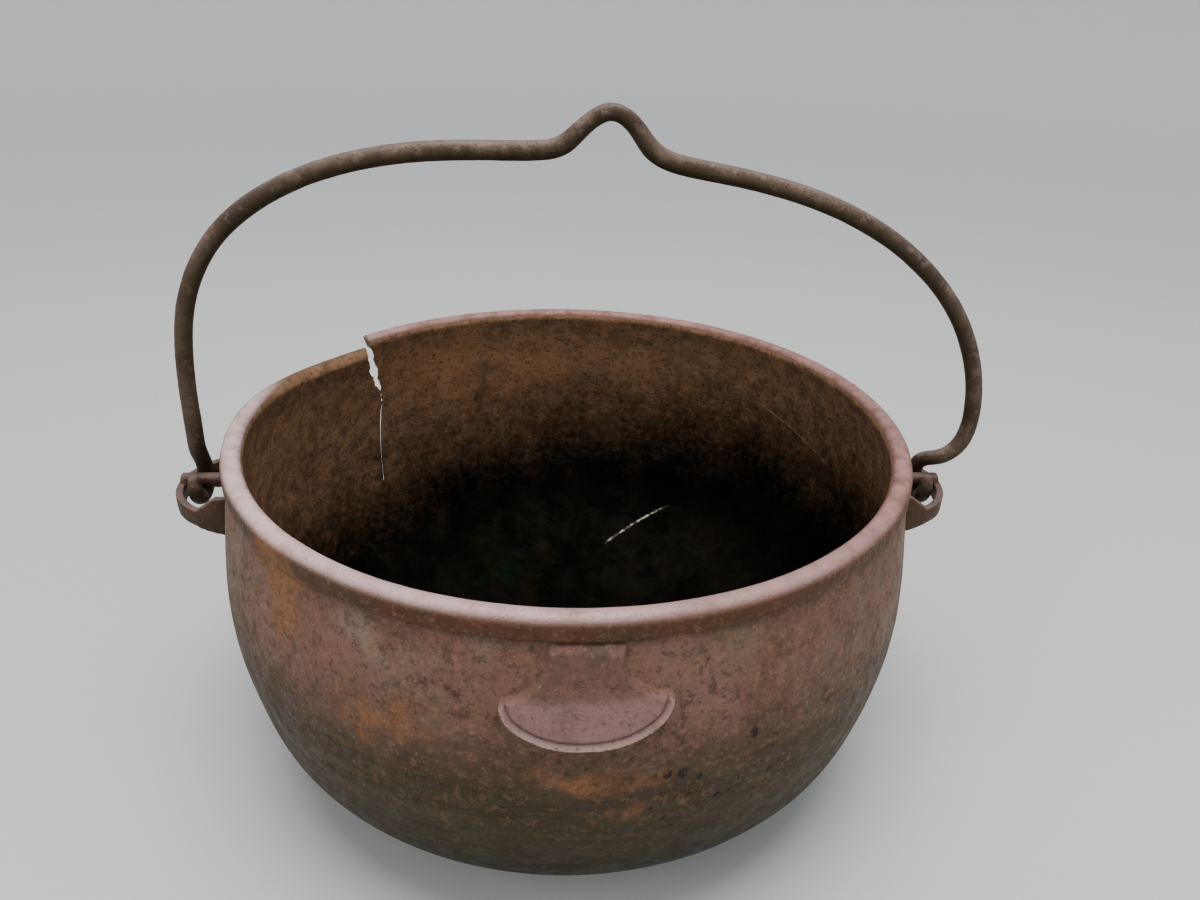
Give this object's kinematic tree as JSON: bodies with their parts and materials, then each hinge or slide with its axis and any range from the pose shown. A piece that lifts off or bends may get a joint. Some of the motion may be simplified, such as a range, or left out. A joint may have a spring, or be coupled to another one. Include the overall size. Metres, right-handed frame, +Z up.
{
  "type": "cooking cauldron",
  "caption": "Round bellied cast-iron cooking pot with an open mouth, rim band, tipping lug and a swinging forged bail handle held by strap ears.",
  "frame": {"origin": "centre of the flat base, on the ground", "axes": "+Z up, the ears and the hinge line along X, the tipping lug at -Y"},
  "size_m": [0.4858, 0.4122, 0.3946],
  "materials": {
    "pot_iron": "old cast iron with brown and orange rust, blackened inside and towards the base, matt",
    "ear_iron": "rusted wrought iron, matt dark red-brown",
    "bail_iron": "worn forged iron, finely pitted, mauve-brown, slightly polished on top"
  },
  "bodies": {
    "pot": {"pot_body": "pot_iron", "ear_left": "ear_iron", "ear_right": "ear_iron"},
    "bail": {"bail_handle": "bail_iron"}
  },
  "joints": [
    {"name": "bail_swing", "type": "hinge", "parent": "pot", "child": "bail", "pos_m": [0, 0, 0.174], "axis": [1, 0, 0], "range_deg": [-46, 72]}
  ]
}
